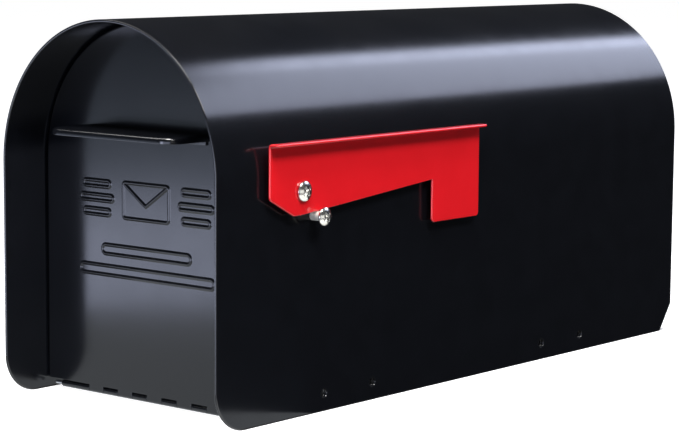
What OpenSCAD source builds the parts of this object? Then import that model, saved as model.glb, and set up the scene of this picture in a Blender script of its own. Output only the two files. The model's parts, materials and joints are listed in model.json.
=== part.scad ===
// Post-mount curbside mailbox: an arched sheet steel shell whose front overhangs a
// recessed drop-down door, with a signal flag on the right-hand side.
//
// Frame: +X is the flag side, -Y the door end, +Z up. The origin is the centre of
// the floor pan's underside, where the mounting board seats.

/* [Shell] */
// Outside width of the shell, which is also the diameter of its round top
shell_w = 206; // [170:1:260]
// Length of the shell from the front rim to the tail
shell_l = 560; // [420:1:700]
// Height from the bottom edges of the sides to the crown
shell_h = 271; // [235:1:330]
// Thickness of the shell's sheet
shell_sheet = 2; // [1:0.1:3]
// Height of the floor's underside above the bottom edges, which is the depth for the mounting board
skirt_depth = 22; // [20:0.5:30]
// Radius of the lower front corner of each side
nose_r = 29; // [10:1:34]
// Length of the bevel at the lower rear corner of each side
tail_cut_l = 16; // [8:1:24]
// Distance from the front rim back to the face of the closed door
hood_depth = 39; // [32:0.5:60]

/* [Floor pan] */
// Thickness of the floor pan's sheet
pan_sheet = 1.6; // [1:0.1:2.4]
// Depth of the floor pan's side flanges below its underside
pan_flange = 17; // [14:0.5:19]

/* [Back panel] */
// Thickness of the back panel's sheet
back_sheet = 1.6; // [1:0.1:2.4]
// Depth of the back panel's rim, which lies against the shell
back_rim = 14; // [8:0.5:20]
// Distance from the tail edge of the shell in to the face of the back panel
back_recess = 2; // [1:0.5:6]

/* [Board screws] */
// Radius of each screw hole for the mounting board
board_hole_r = 3; // [2:0.1:3.5]
// Height of the screw holes above the bottom edges
board_hole_rise = 13; // [11:0.5:15]
// Distance between the two holes of a pair
board_hole_pitch = 53; // [30:1:80]
// Distance from the front rim back to the middle of the front pair
front_pair_setback = 136; // [100:1:160]
// Distance from the tail forward to the middle of the rear pair
rear_pair_setback = 163; // [100:1:200]

/* [Door] */
// Thickness of the door's sheet
door_sheet = 1.6; // [1:0.1:2]
// Depth of the door's turned-back rim
door_rim = 9; // [6:0.5:14]
// Gap between the door and the shell all round
door_gap = 0.7; // [0.5:0.1:1.5]
// Height of the raised ornament on the door
relief_h = 0.8; // [0.4:0.1:1.2]
// Width of the ornament's raised lines
relief_line = 2; // [1.4:0.1:2.6]

/* [Hinge] */
// Radius of the hinge knuckles
knuckle_r = 2.5; // [2.2:0.1:3]
// Radius of the hinge rod
rod_r = 1.25; // [1:0.05:1.4]
// Radial clearance of the rod in the knuckles
rod_fit = 0.06; // [0.03:0.01:0.1]
// Height of the hinge line above the bottom edges
hinge_rise = 5; // [4:0.5:8]
// Number of knuckle places across the door
knuckle_places = 14; // [10:2:18]
// Thickness of the fixed leaf's sheet
leaf_sheet = 1.6; // [1:0.1:2]
// Gap between neighbouring knuckles
knuckle_gap = 0.4; // [0.3:0.1:0.8]
// Radial gap from a knuckle to the edge of the other leaf
leaf_gap = 0.5; // [0.4:0.1:1]

/* [Pull handle] */
// Width of the pull handle
pull_w = 120; // [80:1:140]
// Reach of the pull handle forward of the door
pull_reach = 38; // [20:0.5:38]
// Height of the pull handle's top above the bottom edges
pull_rise = 194.5; // [150:0.5:205]
// Depth of the pull handle's turned-down edge
pull_lip = 4.8; // [3:0.1:8]
// Radius of the pull handle's front corners
pull_corner_r = 12; // [6:1:20]
// Thickness of the pull handle's sheet
pull_sheet = 1.6; // [1:0.1:2]
// Height of the flange that is riveted to the door
pull_flange = 7.5; // [7:0.5:12]
// Radius of the handle rivets
rivet_r = 1.6; // [1.2:0.1:2]
// Distance between handle rivets
rivet_pitch = 42; // [30:1:50]

/* [Stop frame and catch] */
// Thickness of the stop frame's sheet
frame_sheet = 1.2; // [0.8:0.1:2]
// Width of the face that the door closes towards
frame_face = 12; // [11:0.5:16]
// Depth of the stop frame along the shell
frame_depth = 13; // [8:0.5:20]
// Gap between the door's rim and the stop frame
stop_gap = 1.2; // [0.5:0.1:3]
// Width of the magnetic catch
catch_w = 44; // [42:1:52]
// Height of the magnetic catch
catch_h = 12; // [11:0.5:14]
// Thickness of the strike plate
strike_sheet = 1.5; // [1:0.1:2]
// Radius of the catch screws
catch_screw_r = 1.5; // [1.2:0.1:1.7]
// Radius of the rubber bumpers
bumper_r = 4; // [3:0.1:4.2]
// Height of the rubber bumpers above the bottom edges
bumper_rise = 150; // [100:1:160]

/* [Flag] */
// Distance from the front rim back to the flag's pivot
pivot_setback = 80; // [60:1:100]
// Distance from the top of the flat walls down to the flag's pivot
pivot_drop = 11.3; // [8:0.1:28]
// Thickness of the flag's sheet
flag_sheet = 2; // [1.5:0.1:3]
// Gap between the shell and the flag
flag_gap = 4; // [3:0.1:6]
// Length of the flag behind its pivot
flag_l = 198; // [170:1:220]
// Length of the flag in front of its pivot
flag_nose = 34; // [34:0.5:42]
// Height of the flag above its pivot
flag_top = 34; // [26:0.5:40]
// Width of the flag's end tab
tab_w = 56.2; // [40:0.1:70]
// Depth of the end tab below the pivot
tab_drop = 34.5; // [25:0.5:50]
// Depth of the flag's heel below the pivot
heel_drop = 16.4; // [15:0.1:20]
// Slope of the flag's lower edge, in degrees
arm_slope = 5.2; // [4:0.1:6]
// Slope of the bevel on the flag's heel, in degrees
heel_slope = 27.8; // [22:0.1:34]
// Width of the flag's turned-out top lip
flag_lip = 8; // [5:0.5:12]
// Radius of the bend under the lip
lip_bend_r = 1.2; // [0.5:0.1:2]
// Radius of the flag's corners
flag_corner_r = 3; // [1:0.5:4]

/* [Flag fasteners] */
// Radius of the pivot screw's shank
pivot_r = 3; // [2.5:0.1:3.5]
// Radial clearance of the pivot screw in the bushing
pivot_fit = 0.06; // [0.03:0.01:0.1]
// Radius of the bushing where it passes through the flag
bushing_r = 4.6; // [4.2:0.1:5]
// Radius of the pivot screw's head
pivot_head_r = 7; // [6:0.1:8]
// Radius of the stop screw's shank
stop_r = 2.5; // [2:0.1:2.6]
// Outside radius of the stop's spacer tube
spacer_r = 3.3; // [3.1:0.1:4]
// Length of the stop's spacer tube
spacer_l = 10.5; // [9:0.5:14]
// Radius of the stop screw's head
stop_head_r = 6.4; // [5:0.1:7]
// Distance from the pivot back to the stop
stop_setback = 16; // [15:0.1:18]
// Gap that the flag keeps from the stop at both ends of its swing
stop_clear = 0.3; // [0.2:0.05:0.5]

/* [Hidden] */
$fn = 96;

// Overrun of every cutting tool past the surface that it cuts
over = 1;
// Play between pieces that are welded, riveted or screwed face to face
seat = 0.1;
// Radial clearance of a fastener in a hole that it passes through freely
hole_fit = 0.15;
// Radial clearance of a fastener in a part that grips it
grip_fit = 0.03;
// Radial clearance of a piece that fills its hole
snug_fit = 0.05;
// Gap that moving pieces keep from fixed ones
run_gap = 0.3;

// Shell
front_y = -shell_l / 2;
tail_y = shell_l / 2;
foot_z = -skirt_depth;
arch_r = shell_w / 2;
inner_r = arch_r - shell_sheet;
arch_z = foot_z + shell_h - arch_r;
board_hole_z = foot_z + board_hole_rise;
board_pairs = [front_y + front_pair_setback, tail_y - rear_pair_setback];

// Door and hinge
door_y = front_y + hood_depth;
door_inner_y = door_y + door_sheet;
door_r = inner_r - door_gap;
hinge_y = door_y + knuckle_r;
hinge_z = foot_z + hinge_rise;
leaf_z = hinge_z + knuckle_r + leaf_gap;
bore_r = rod_r + rod_fit;
// The rod stops this far inside the door's edge.
rod_inset = 1;
place_w = 2 * inner_r / knuckle_places;
// Each knuckle spans from one place line to another. The first place at the left stays
// empty for threading the rod, and the fixed leaf's knuckle beside it is a double one.
leaf_spans = concat([[1, 3]], [for (i = [4 : 2 : knuckle_places - 2]) [i, i + 1]]);
door_spans = [for (i = [3 : 2 : knuckle_places - 1]) [i, i + 1]];

// Floor pan and back panel
pan_half = inner_r - seat;
leaf_y = hinge_y + knuckle_r - leaf_sheet;
// Room left around the door's rim as it swings past the corners of the floor pan
rim_clear = 1.2;
leaf_half = door_r - door_sheet - rim_clear;
pan_front_y = leaf_y + leaf_sheet + seat;
pan_corner_y = door_y + door_rim + rim_clear;
pan_tail_y = tail_y - back_recess;
// The side flanges end this far ahead of the bevel at the tail.
flange_inset = 4;
flange_tail_y = tail_y - tail_cut_l - flange_inset;
floor_z = pan_sheet + seat;

// Stop frame, catch and strike
frame_y = door_y + door_rim + stop_gap;
frame_r = inner_r - seat;
frame_inner_r = frame_r - frame_face;
frame_back_y = frame_y + frame_sheet;
// The catch and its bracket stay this far from the frame and from each other's edges.
catch_margin = 1;
catch_z = arch_z + sqrt(pow(frame_inner_r, 2) - pow(catch_w / 2, 2)) - catch_h / 2 - catch_margin;
strike_y = door_inner_y + seat;
strike_half = catch_w / 2 - 2;
strike_corner_r = 2;
pole_y = strike_y + strike_sheet + run_gap;
pole_half = 14.5;
pole_sheet = 1.2;
// The pole plates stand this far out of the face of the housing.
pole_proud = 0.5;
magnet_h = 4;
bracket_y = frame_back_y + seat;
bracket_sheet = 1.5;
bracket_flange = 7;
bracket_half = catch_w / 2 + 4;
bracket_top_z = arch_z + sqrt(pow(frame_r - frame_sheet, 2) - pow(bracket_half, 2)) - catch_margin;
bracket_foot_z = catch_z - catch_h / 2 - catch_margin;
catch_front_y = pole_y + pole_proud;
catch_back_y = frame_back_y;
// Wall that the housing keeps behind the magnet
catch_back_wall = 1.2;
magnet_back_y = catch_back_y - catch_back_wall;
catch_screw_x = catch_w / 2 - 3.5;
catch_screw_tail = 2;
catch_head_r = catch_screw_r * 1.8;
catch_head_h = 1.4;
// The screw heads lie this far below the face of the catch.
catch_sink = 0.2;
// Length, depth and width of the cross recess in each catch screw
catch_recess = [catch_screw_r * 2, 1.2, 0.7];

// Bumpers
bumper_x = inner_r - frame_face / 2 - 1;
bumper_z = foot_z + bumper_rise;
bumper_neck_r = bumper_r / 2;
bumper_barb = 0.7;
bumper_tail_y = frame_back_y + 2;

// Pull handle
pull_z = foot_z + pull_rise;
pull_front_y = door_y - pull_reach;
rivet_z = pull_z - pull_sheet - (pull_flange - pull_sheet) / 2;
rivet_head_r = rivet_r * 1.6;
rivet_head_h = 1;

// Flag, measured from its pivot: u runs towards the tail and v runs up
pivot_y = front_y + pivot_setback;
pivot_z = arch_z - pivot_drop;
flag_x = arch_r + flag_gap;
flag_face_x = flag_x + flag_sheet;
stop_reach = spacer_r + stop_clear;
// Height of the sloping lower edge at a distance u from the pivot
heel_u = -2.5;
function arm_v(u) = -heel_drop + (u - heel_u) * tan(arm_slope);
stop_v = arm_v(stop_setback) - stop_reach / cos(arm_slope);
// With the flag raised a quarter turn, the stop lies here in the flag's own frame.
raised_stop = [stop_v, -stop_setback];
// The bevel on the heel passes the raised stop with the same gap.
bevel_point = raised_stop + stop_reach * [sin(heel_slope), cos(heel_slope)];
function bevel_v(u) = bevel_point[1] - (u - bevel_point[0]) * tan(heel_slope);
bevel_end_u = bevel_point[0] + (bevel_point[1] + heel_drop) / tan(heel_slope);
tab_u = flag_l - tab_w;

// Radius of the flag's inner corner, between the arm and the tab
inner_corner_r = 1;
// Place of the stop: fixed to the shell, under the resting flag
stop_y = pivot_y + stop_setback;
stop_z = pivot_z + stop_v;

// Fasteners of the flag
washer_t = 1.5;
wall_x = arch_r;
inner_x = inner_r;
bushing_flange_r = pivot_head_r - 0.5;
// Gap between the flag and the pivot screw's head
head_gap = 0.4;
pivot_head_x = flag_face_x + head_gap;
pivot_head_h = 3.4;
stop_head_x = wall_x + seat + spacer_l + seat;
stop_head_h = 3.2;
// Each shank runs this far into its head.
shank_lap = 0.5;
// Widths that the washers and nuts add around their screws
pivot_washer_rim = 3.4;
pivot_nut_rim = 2;
stop_washer_rim = 2.6;
stop_nut_rim = 1.6;
// Radial clearance of the stop screw in its spacer
spacer_fit = 0.1;
nut_h = 5;
thread_tail = 2.5;
shank_end_x = inner_x - washer_t - nut_h - thread_tail;

// A flat shape in X and Z, given depth along Y from y0 to y1
module deep(y0, y1) {
    translate([0, y1, 0]) rotate([90, 0, 0]) linear_extrude(y1 - y0) children();
}

// A flat shape in Y and Z, given thickness along X from x0 to x1
module thick(x0, x1) {
    translate([x0, 0, 0]) rotate([90, 0, 90]) linear_extrude(x1 - x0) children();
}

// A rod along X from x0 to x1
module rod(x0, x1, y, z, r) {
    translate([x0, y, z]) rotate([0, 90, 0]) cylinder(h = x1 - x0, r = r);
}

// A rod along Y from y0 to y1
module rod_y(y0, y1, x, z, r) {
    translate([x, y1, z]) rotate([90, 0, 0]) cylinder(h = y1 - y0, r = r);
}

// A block between two opposite corners
module block(low, high) {
    translate(low) cube(high - low);
}

// The arched outline: a half circle on straight sides that reach down to z0
module arch(r, z0) {
    translate([0, arch_z]) circle(r);
    translate([-r, z0]) square([2 * r, arch_z - z0]);
}

// The points of one rounded corner at q, between its neighbours p and s
function unit(v) = v / norm(v);
function corner(p, q, s, r, steps = 8) =
    let (
        a = unit(p - q),
        b = unit(s - q),
        half = acos(a * b) / 2,
        centre = q + unit(a + b) * r / sin(half),
        from = q + a * r / tan(half) - centre,
        to = q + b * r / tan(half) - centre,
        turn = atan2(from[0] * to[1] - from[1] * to[0], from * to)
    )
    [for (i = [0 : steps])
        let (t = turn * i / steps)
        centre + [from[0] * cos(t) - from[1] * sin(t), from[0] * sin(t) + from[1] * cos(t)]];

// An outline whose corners are rounded, each given as [x, y, radius]
function rounded(pts) =
    let (n = len(pts))
    [for (i = [0 : n - 1])
        let (
            p = pts[(i + n - 1) % n],
            q = pts[i],
            s = pts[(i + 1) % n],
            arc = q[2] > 0
                ? corner([p[0], p[1]], [q[0], q[1]], [s[0], s[1]], q[2])
                : [[q[0], q[1]]]
        )
        each arc];

// Rolled-up arched shell with an open front, tail and bottom
module shell() {
    color("#15171c") difference() {
        deep(front_y, tail_y) arch(arch_r, foot_z);
        deep(front_y - over, tail_y + over) arch(inner_r, foot_z - over);
        thick(-arch_r - over, arch_r + over) {
            nose_cut();
            tail_cut();
        }
        for (y = board_pairs) board_hole_pair(y);
        rod(inner_x - over, wall_x + over, pivot_y, pivot_z, pivot_r + hole_fit);
        rod(inner_x - over, wall_x + over, stop_y, stop_z, stop_r + hole_fit);
    }
}

// Waste outside the rounded lower front corner
module nose_cut() {
    difference() {
        translate([front_y - over, foot_z - over]) square(nose_r + over);
        translate([front_y + nose_r, foot_z + nose_r]) circle(nose_r);
    }
}

// Waste below the bevel at the lower rear corner, which ends level with the floor
module tail_cut() {
    slope = skirt_depth / tail_cut_l;
    polygon([
        [tail_y - tail_cut_l - over / slope, foot_z - over],
        [tail_y + over, foot_z - over],
        [tail_y + over, foot_z + skirt_depth + over * slope]
    ]);
}

// Two screw holes on each side, for the edges of the mounting board
module board_hole_pair(y) {
    for (dy = [-board_hole_pitch / 2, board_hole_pitch / 2])
        rod(-arch_r - over, arch_r + over, y + dy, board_hole_z, board_hole_r);
}

// Knuckles of one hinge leaf: barrels with tongues that join the leaf's sheet
module knuckles(spans, sheet_y, sheet, limit) {
    for (span = spans) {
        x0 = max(-inner_r + span[0] * place_w + knuckle_gap / 2, -limit);
        x1 = min(-inner_r + span[1] * place_w - knuckle_gap / 2, limit);
        rod(x0, x1, hinge_y, hinge_z, knuckle_r);
        block([x0, sheet_y, hinge_z], [x1, sheet_y + sheet, leaf_z + over]);
    }
}

// Floor with turned-down side flanges and notched front corners
module floor_pan() {
    color("#191b20") difference() {
        union() {
            block([-leaf_half, pan_front_y, 0], [leaf_half, pan_corner_y, pan_sheet]);
            block([-pan_half, pan_corner_y, 0], [pan_half, pan_tail_y, pan_sheet]);
            for (side = [-1, 1])
                block(
                    [side > 0 ? pan_half - pan_sheet : -pan_half, pan_corner_y, -pan_flange],
                    [side > 0 ? pan_half : -pan_half + pan_sheet, flange_tail_y, pan_sheet / 2]
                );
        }
        for (y = board_pairs) board_hole_pair(y);
    }
}

// Fixed leaf of the hinge, welded upright against the front edge of the floor
module hinge_leaf() {
    color("#191b20") difference() {
        union() {
            block([-leaf_half, leaf_y, leaf_z], [leaf_half, leaf_y + leaf_sheet, pan_sheet]);
            knuckles(leaf_spans, leaf_y, leaf_sheet, leaf_half);
        }
        rod(-arch_r, arch_r, hinge_y, hinge_z, bore_r);
    }
}

// Arched rear wall with a rim that lies against the shell
module back_panel() {
    color("#15171c") difference() {
        deep(pan_tail_y - back_rim, pan_tail_y) arch(inner_r - seat, floor_z);
        deep(pan_tail_y - back_rim - over, pan_tail_y - back_sheet)
            arch(inner_r - seat - back_sheet, floor_z + back_sheet);
    }
}

// Angle frame behind the door, standing on the floor and lining the shell
module stop_frame() {
    color("#191b20") difference() {
        deep(frame_y, frame_y + frame_depth) arch(frame_r, floor_z);
        deep(frame_back_y, frame_y + frame_depth + over) arch(frame_r - frame_sheet, floor_z - over);
        deep(frame_y - over, frame_back_y + over) arch(frame_inner_r, floor_z - over);
        for (side = [-1, 1])
            rod_y(frame_y - over, frame_back_y + over, side * bumper_x, bumper_z, bumper_neck_r);
    }
}

module hinge_rod() {
    color("#b9bcc0")
        rod(-inner_r + place_w / 2, door_r - rod_inset, hinge_y, hinge_z, rod_r);
}

// Door: an arched pan with a turned-back rim, knuckles and a raised ornament
module door_panel() {
    color("#2b2d36") difference() {
        union() {
            deep(door_y, door_inner_y) arch(door_r, leaf_z);
            difference() {
                deep(door_y, door_y + door_rim) arch(door_r, leaf_z);
                deep(door_y - over, door_y + door_rim + over) arch(door_r - door_sheet, leaf_z - over);
            }
            knuckles(door_spans, door_y, door_sheet, door_r);
            deep(door_y - relief_h, door_y + door_sheet / 2) ornament();
        }
        rod(-arch_r, arch_r, hinge_y, hinge_z, bore_r);
        handle_rivet_holes();
    }
}

// Raised ornament: an envelope between ribs, over two long beads
ornament_z = foot_z + 143.5;
envelope = [46, 27];
// Depth to which the envelope's flap dips, and the height of its raised edge
flap_dip = 3;
flap_line = relief_line * 1.2;
// The ribs on each side of the envelope shorten by rib_step above and below the middle one.
rib_x = 48;
rib_pitch = 10;
rib_l = 34;
rib_step = 6;
rib_h = 6;
// Each long bead, as its drop below the envelope's centre and its length
beads = [[36, 88], [51, 132]];
bead_h = 8.5;

module ornament() {
    translate([0, ornament_z]) {
        difference() {
            square(envelope, center = true);
            square(envelope - 2 * [relief_line, relief_line], center = true);
        }
        for (side = [-1, 1]) flap_edge(side);
        for (side = [-1, 1], row = [-1, 0, 1])
            translate([side * rib_x, row * rib_pitch]) bead(rib_l - rib_step * abs(row), rib_h);
        for (b = beads) translate([0, -b[0]]) bead(b[1], bead_h);
    }
}

// One sloping edge of the envelope's flap
module flap_edge(side) {
    half = envelope / 2 - [relief_line, relief_line] / 2;
    polygon([
        [side * half[0], half[1]],
        [0, -flap_dip],
        [0, -flap_dip - flap_line],
        [side * half[0], half[1] - flap_line]
    ]);
}

// A long bead drawn as a raised line around a round-ended slot
module bead(length, height) {
    difference() {
        slot(length, height);
        slot(length - 2 * relief_line, height - 2 * relief_line);
    }
}

module slot(length, height) {
    straight = length - height;
    square([straight, height], center = true);
    for (side = [-1, 1]) translate([side * straight / 2, 0]) circle(height / 2);
}

module handle_rivet_holes() {
    for (i = [-1 : 1])
        rod_y(
            door_y - 2 * pull_sheet - over, door_inner_y + over,
            i * rivet_pitch, rivet_z, rivet_r + snug_fit
        );
}

// Plan of the pull handle, drawn in by an inset
module pull_plan(inset) {
    half = pull_w / 2 - inset;
    r = pull_corner_r - inset;
    polygon(rounded([
        [-half, pull_front_y + inset, r],
        [half, pull_front_y + inset, r],
        [half, door_y - seat, 0],
        [-half, door_y - seat, 0]
    ]));
}

// Flat pull with a turned-down edge all round and a flange riveted to the door
module door_handle() {
    half = pull_w / 2;
    color("#33353d") difference() {
        union() {
            translate([0, 0, pull_z - pull_sheet]) linear_extrude(pull_sheet) pull_plan(0);
            translate([0, 0, pull_z - pull_lip]) linear_extrude(pull_lip) difference() {
                pull_plan(0);
                pull_plan(pull_sheet);
            }
            block(
                [-half + pull_sheet, door_y - seat - pull_sheet, pull_z - pull_flange],
                [half - pull_sheet, door_y - seat, pull_z - pull_sheet / 2]
            );
        }
        handle_rivet_holes();
    }
}

// Three rivets through the handle's flange and the door
module handle_rivets() {
    outer_y = door_y - seat - pull_sheet;
    head_y = outer_y - rivet_head_h;
    clinch_y = door_inner_y + rivet_head_h;
    color("#33353d") for (i = [-1 : 1]) {
        rod_y(head_y, outer_y, i * rivet_pitch, rivet_z, rivet_head_r);
        rod_y(head_y, clinch_y, i * rivet_pitch, rivet_z, rivet_r);
        rod_y(door_inner_y, clinch_y, i * rivet_pitch, rivet_z, rivet_head_r);
    }
}

// Steel plate welded inside the door, which the magnet draws
module strike_plate() {
    r = strike_corner_r;
    color("#9b9da1") deep(strike_y, strike_y + strike_sheet)
        translate([0, catch_z]) polygon(rounded([
            [-strike_half, -catch_h / 2, r],
            [strike_half, -catch_h / 2, r],
            [strike_half, catch_h / 2, r],
            [-strike_half, catch_h / 2, r]
        ]));
}

// Plate welded behind the stop frame, with a stiffening flange at its foot
module catch_bracket() {
    color("#191b20") difference() {
        union() {
            block(
                [-bracket_half, bracket_y, bracket_foot_z],
                [bracket_half, bracket_y + bracket_sheet, bracket_top_z]
            );
            block(
                [-bracket_half, bracket_y, bracket_foot_z],
                [bracket_half, bracket_y + bracket_flange, bracket_foot_z + bracket_sheet]
            );
        }
        catch_screw_holes(bracket_y - over, bracket_y + bracket_sheet + over, catch_screw_r + grip_fit);
    }
}

module catch_screw_holes(y0, y1, r) {
    for (side = [-1, 1]) rod_y(y0, y1, side * catch_screw_x, catch_z, r);
}

// Half the height of the magnet and its two pole plates
stack_half = magnet_h / 2 + pole_sheet;

// Moulded holder of the magnet
module catch_housing() {
    color("#202022") difference() {
        block(
            [-catch_w / 2, catch_front_y, catch_z - catch_h / 2],
            [catch_w / 2, catch_back_y, catch_z + catch_h / 2]
        );
        block(
            [-pole_half - seat, catch_front_y - over, catch_z - stack_half - seat],
            [pole_half + seat, magnet_back_y + seat, catch_z + stack_half + seat]
        );
        catch_screw_holes(catch_front_y - over, catch_back_y + over, catch_screw_r + hole_fit);
        catch_screw_holes(
            catch_front_y - over, catch_front_y + catch_sink + catch_head_h,
            catch_head_r + hole_fit
        );
    }
}

module catch_magnet() {
    color("#4a4a4c") block(
        [-pole_half, catch_front_y, catch_z - magnet_h / 2],
        [pole_half, magnet_back_y, catch_z + magnet_h / 2]
    );
}

// One steel pole plate above the magnet and one below
module catch_pole_plates() {
    color("#b9bcc0") for (side = [-1, 1])
        translate([0, 0, catch_z + side * (magnet_h + pole_sheet) / 2])
            block([-pole_half, pole_y, -pole_sheet / 2], [pole_half, magnet_back_y, pole_sheet / 2]);
}

// Two screws that hold the catch to its bracket, with their heads sunk in its face
module catch_screws() {
    head_y = catch_front_y + catch_sink;
    color("#b9bcc0") for (side = [-1, 1]) difference() {
        union() {
            rod_y(head_y, head_y + catch_head_h, side * catch_screw_x, catch_z, catch_head_r);
            rod_y(
                head_y, bracket_y + bracket_sheet + catch_screw_tail,
                side * catch_screw_x, catch_z, catch_screw_r
            );
        }
        translate([side * catch_screw_x, head_y, catch_z])
            for (turn = [0, 90]) rotate([0, turn, 0]) cube(catch_recess, center = true);
    }
}

// Two rubber bumpers that press into the stop frame and cushion the door
module door_bumpers() {
    color("#232323") for (side = [-1, 1]) {
        x = side * bumper_x;
        rod_y(door_inner_y + run_gap, frame_y - seat, x, bumper_z, bumper_r);
        rod_y(frame_y - 2 * seat, bumper_tail_y - seat, x, bumper_z, bumper_neck_r - snug_fit);
        rod_y(frame_back_y + seat, bumper_tail_y, x, bumper_z, bumper_neck_r + bumper_barb);
    }
}

// Signal flag: an arm with an end tab, a bevelled heel and a turned-out top lip
module flag() {
    color("#dc1c22") difference() {
        union() {
            thick(flag_x, flag_face_x) translate([pivot_y, pivot_z]) flag_outline();
            deep(pivot_y - flag_nose + flag_corner_r, pivot_y + flag_l - flag_corner_r) lip_section();
            lip_end_pieces();
        }
        rod(flag_x - over, flag_face_x + over, pivot_y, pivot_z, bushing_r);
    }
}

module flag_outline() {
    top = flag_top - flag_sheet - lip_bend_r;
    r = flag_corner_r;
    polygon(rounded([
        [-flag_nose, bevel_v(-flag_nose), r],
        [bevel_end_u, -heel_drop, r],
        [heel_u, -heel_drop, 0],
        [tab_u, arm_v(tab_u), inner_corner_r],
        [tab_u, -tab_drop, r],
        [flag_l, -tab_drop, r],
        [flag_l, top, 0],
        [-flag_nose, top, 0]
    ]));
}

// Cross-section of the lip: a bend and a short flat, in X and Z
module lip_section() {
    z = pivot_z + flag_top;
    bend = flag_sheet + lip_bend_r;
    translate([flag_x + bend, z - bend]) difference() {
        intersection() {
            circle(bend);
            translate([-bend, 0]) square(bend);
        }
        circle(lip_bend_r);
    }
    translate([flag_x + bend, z - flag_sheet])
        square([flag_lip - lip_bend_r, flag_sheet]);
}

// The ends of the lip, whose outer corners are rounded off in plan
module lip_end_pieces() {
    y0 = pivot_y - flag_nose;
    y1 = pivot_y + flag_l;
    r = flag_corner_r;
    lip_x = flag_face_x + flag_lip;
    intersection() {
        deep(y0, y1) lip_section();
        translate([0, 0, pivot_z]) linear_extrude(flag_top + over)
            difference() {
                polygon(rounded([
                    [flag_x, y0, 0],
                    [lip_x, y0, r],
                    [lip_x, y1, r],
                    [flag_x, y1, 0]
                ]));
                translate([flag_x - over, y0 + r]) square([lip_x, y1 - y0 - 2 * r]);
            }
    }
}

// Flanged bushing in the flag, which turns on the pivot screw
module flag_bushing() {
    color("#d8d6cf") difference() {
        union() {
            rod(
                wall_x + seat + washer_t + run_gap, flag_x - seat,
                pivot_y, pivot_z, bushing_flange_r
            );
            rod(flag_x - 2 * seat, flag_face_x + seat, pivot_y, pivot_z, bushing_r - snug_fit);
        }
        rod(wall_x, flag_face_x + over, pivot_y, pivot_z, pivot_r + pivot_fit);
    }
}

// A ring washer lying on a face at x0, reaching to x1
module washer(x0, x1, y, z, r, hole_r) {
    difference() {
        rod(x0, x1, y, z, r);
        rod(x0 - over, x1 + over, y, z, hole_r);
    }
}

module flag_wall_washer() {
    color("#2a2a2a") washer(
        wall_x + seat, wall_x + seat + washer_t, pivot_y, pivot_z,
        pivot_head_r, pivot_r + hole_fit
    );
}

// A domed screw head whose flat seat is at x0, with a cross recess
recess_turn = 35;
module domed_head(x0, y, z, r, h) {
    dome = h * 2 / 3;
    dome_r = (r * r + dome * dome) / (2 * dome);
    slot_w = r / 5;
    slot_l = r * 1.05;
    translate([x0, y, z]) difference() {
        rotate([0, 90, 0]) rotate_extrude() intersection() {
            translate([0, h - dome_r]) circle(dome_r);
            square([r, h]);
        }
        for (turn = [0, 90]) rotate([recess_turn + turn, 0, 0])
            translate([h, 0, 0]) cube([h, slot_l, slot_w], center = true);
    }
}

module flag_pivot_screw() {
    color("#c9cbcd") {
        domed_head(pivot_head_x, pivot_y, pivot_z, pivot_head_r, pivot_head_h);
        rod(shank_end_x, pivot_head_x + shank_lap, pivot_y, pivot_z, pivot_r);
    }
}

module flag_inner_washer() {
    color("#b9bcc0") washer(
        inner_x - seat - washer_t, inner_x - seat, pivot_y, pivot_z,
        pivot_r + pivot_washer_rim, pivot_r + hole_fit
    );
}

// A hexagon nut on its washer, inside the shell
module hex_nut(y, z, flat_r, hole_r) {
    x1 = inner_x - 2 * seat - washer_t;
    difference() {
        translate([x1 - nut_h, y, z]) rotate([0, 90, 0])
            cylinder(h = nut_h, r = flat_r / cos(30), $fn = 6);
        rod(x1 - nut_h - over, x1 + over, y, z, hole_r);
    }
}

module flag_lock_nut() {
    color("#b9bcc0") hex_nut(pivot_y, pivot_z, pivot_r + pivot_nut_rim, pivot_r + grip_fit);
}

module stop_screw() {
    color("#c9cbcd") {
        domed_head(stop_head_x, stop_y, stop_z, stop_head_r, stop_head_h);
        rod(shank_end_x, stop_head_x + shank_lap, stop_y, stop_z, stop_r);
    }
}

// Tube that the flag rests on, down or raised
module stop_spacer() {
    color("#d8d6cf") washer(
        wall_x + seat, wall_x + seat + spacer_l, stop_y, stop_z, spacer_r, stop_r + spacer_fit
    );
}

module stop_inner_washer() {
    color("#b9bcc0") washer(
        inner_x - seat - washer_t, inner_x - seat, stop_y, stop_z,
        stop_r + stop_washer_rim, stop_r + hole_fit
    );
}

module stop_nut() {
    color("#b9bcc0") hex_nut(stop_y, stop_z, stop_r + stop_nut_rim, stop_r + grip_fit);
}

shell();
floor_pan();
back_panel();
stop_frame();
hinge_leaf();
hinge_rod();
door_panel();
door_handle();
handle_rivets();
strike_plate();
catch_bracket();
catch_housing();
catch_magnet();
catch_pole_plates();
catch_screws();
door_bumpers();
flag();
flag_bushing();
flag_wall_washer();
flag_pivot_screw();
flag_inner_washer();
flag_lock_nut();
stop_screw();
stop_spacer();
stop_inner_washer();
stop_nut();
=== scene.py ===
"""Looks of the arched curbside mailbox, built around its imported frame. All sizes are in metres."""

import json
import math

import bmesh
import bpy
from mathutils import Matrix, Vector


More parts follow.
